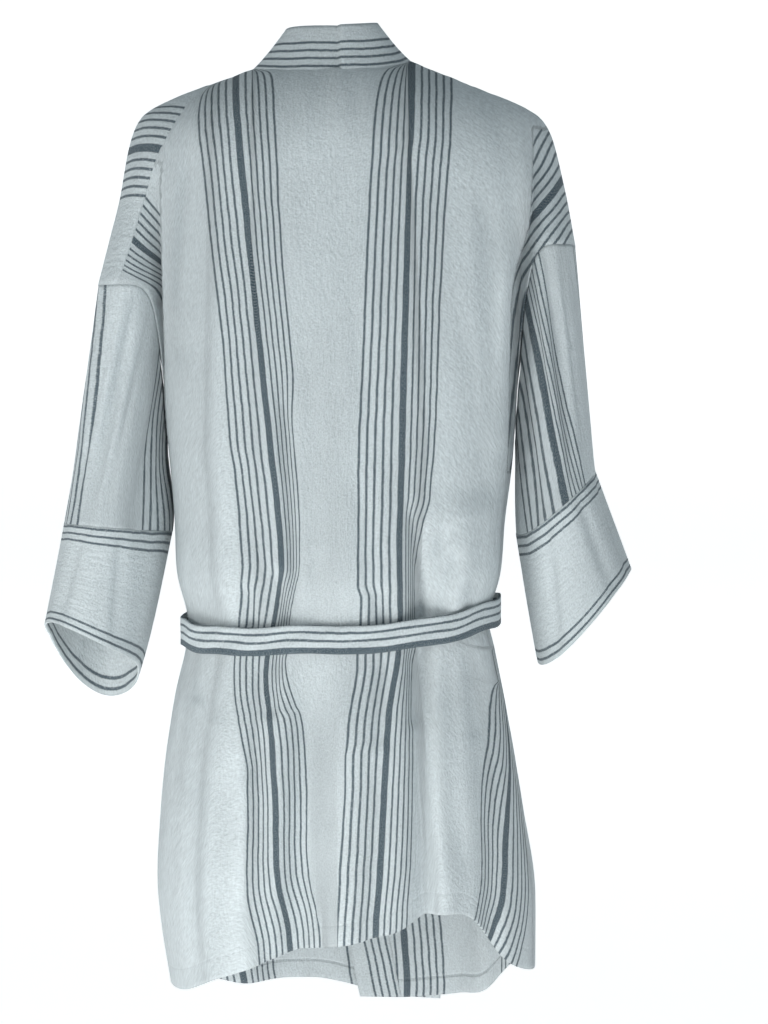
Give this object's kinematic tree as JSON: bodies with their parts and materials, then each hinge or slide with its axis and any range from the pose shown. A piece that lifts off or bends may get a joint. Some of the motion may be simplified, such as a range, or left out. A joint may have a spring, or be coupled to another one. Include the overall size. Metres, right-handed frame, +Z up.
{
  "type": "lounge robe",
  "caption": "Short cotton lounge robe, kimono cut, off-white with woven slate stripes, neckband, wide cuffs and a tied belt, filled out as if worn.",
  "frame": {"origin": "centre of the neck at the height where the neckband is sewn on, where the wearer's shoulders hold the robe", "axes": "+Z up, +Y towards the back of the robe, +X towards the wearer's left"},
  "size_m": [0.6439, 0.3256, 1.1205],
  "materials": {
    "body_cotton": "woven, matte",
    "sleeve_cotton": "woven, matte",
    "cuff_cotton": "woven, matte",
    "band_cotton": "woven, matte",
    "belt_cotton": "woven, matte"
  },
  "bodies": {
    "root": {"back": "body_cotton", "front_left": "body_cotton", "front_right": "body_cotton", "sleeve_left": "sleeve_cotton", "sleeve_right": "sleeve_cotton", "cuff_left": "cuff_cotton", "cuff_right": "cuff_cotton", "neckband": "band_cotton", "belt": "belt_cotton", "belt_knot": "belt_cotton", "belt_end_left": "belt_cotton", "belt_end_right": "belt_cotton"}
  },
  "joints": []
}
